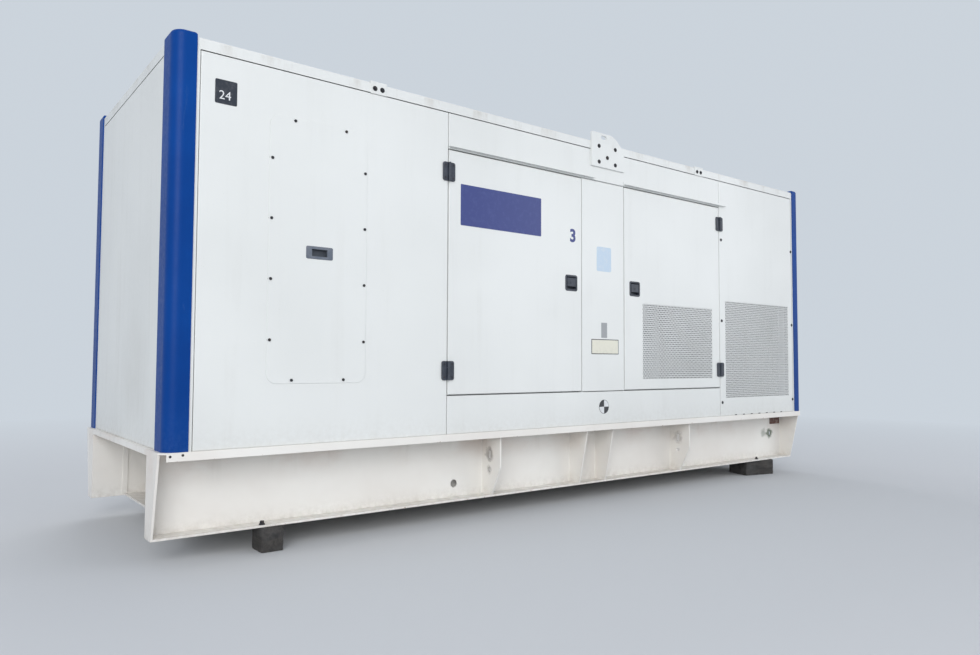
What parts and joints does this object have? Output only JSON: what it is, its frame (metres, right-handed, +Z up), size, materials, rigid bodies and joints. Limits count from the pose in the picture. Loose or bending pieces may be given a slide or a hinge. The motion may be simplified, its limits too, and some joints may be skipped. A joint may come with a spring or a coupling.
{
  "type": "enclosed generator set",
  "caption": "Box-shaped sound-proof enclosure for a generator set with two swinging side doors, inlet grilles and a lifting lug near the middle, on a gusseted base frame with packing blocks.",
  "frame": {"origin": "on the floor under the middle of the set, where the packing blocks stand", "axes": "+X along the set towards the air inlet end, -Y towards the side whose doors open, +Z up"},
  "size_m": [5.112, 1.69, 2.411],
  "materials": {
    "white_paint": "smooth off-white sheet paint, lightly soiled",
    "frame_paint": "off-white frame paint with rust streaks",
    "blue_paint": "deep blue satin",
    "black_plastic": "near-black satin",
    "grey_plastic": "grey satin",
    "grille_paint": "painted perforated sheet",
    "lining": "dark acoustic foam",
    "timber": "dark weathered timber",
    "engine_paint": "satin grey machine paint",
    "dark_steel": "black painted steel",
    "plain_steel": "dull heat-marked steel"
  },
  "bodies": {
    "enclosure": {"skid_webs": "frame_paint", "skid_flanges": "frame_paint", "skid_ledges": "frame_paint", "skid_gussets": "frame_paint", "skid_end_beams": "frame_paint", "skid_deck": "frame_paint", "skid_floor": "frame_paint", "fuel_tank": "frame_paint", "packing_blocks": "timber", "corner_posts": "white_paint", "corner_covers": "blue_paint", "end_panels": "white_paint", "left_panels": "white_paint", "sills": "white_paint", "pillars": "white_paint", "headers": "white_paint", "right_panels": "white_paint", "far_doors": "white_paint", "far_door_grille": "grille_paint", "far_hinges": "black_plastic", "far_latches": "black_plastic", "access_panels": "white_paint", "access_pulls": "grey_plastic", "side_grilles": "grille_paint", "drip_rails": "white_paint", "hinge_frame_leaves": "black_plastic", "wall_lining": "lining", "roof": "white_paint", "roof_outlet": "white_paint", "lifting_lugs": "white_paint", "roof_brackets": "white_paint", "set_bearers": "dark_steel", "engine_block": "engine_paint", "engine_head": "engine_paint", "oil_filters": "dark_steel", "starter_motor": "dark_steel", "alternator": "engine_paint", "radiator": "dark_steel", "coolant_pipe": "black_plastic", "cooling_fan": "dark_steel", "air_cleaners": "dark_steel", "silencer": "plain_steel", "exhaust_pipe": "plain_steel"},
    "door_left": {"door_left": "white_paint", "door_left_lining": "lining", "door_left_hinge_leaves": "black_plastic", "door_left_latch": "black_plastic"},
    "paddle_left": {"door_left_paddle": "black_plastic"},
    "door_right": {"door_right": "white_paint", "door_right_lining": "lining", "door_right_grille": "grille_paint", "door_right_hinge_leaves": "black_plastic", "door_right_latch": "black_plastic"},
    "paddle_right": {"door_right_paddle": "black_plastic"}
  },
  "joints": [
    {"name": "door_left_swing", "type": "hinge", "parent": "enclosure", "child": "door_left", "pos_m": [-1.075, -0.832, 1.412], "axis": [0, 0, -1], "range_deg": [0, 170]},
    {"name": "door_right_swing", "type": "hinge", "parent": "enclosure", "child": "door_right", "pos_m": [1.414, -0.832, 1.412], "axis": [0, 0, 1], "range_deg": [0, 170]},
    {"name": "paddle_left_pull", "type": "hinge", "parent": "door_left", "child": "paddle_left", "pos_m": [-0.135, -0.817, 1.4365], "axis": [-1, 0, 0], "range_deg": [0, 40], "stiffness_Nm_per_rad": 0.4},
    {"name": "paddle_right_pull", "type": "hinge", "parent": "door_right", "child": "paddle_right", "pos_m": [0.459, -0.817, 1.4365], "axis": [-1, 0, 0], "range_deg": [0, 40], "stiffness_Nm_per_rad": 0.4}
  ]
}
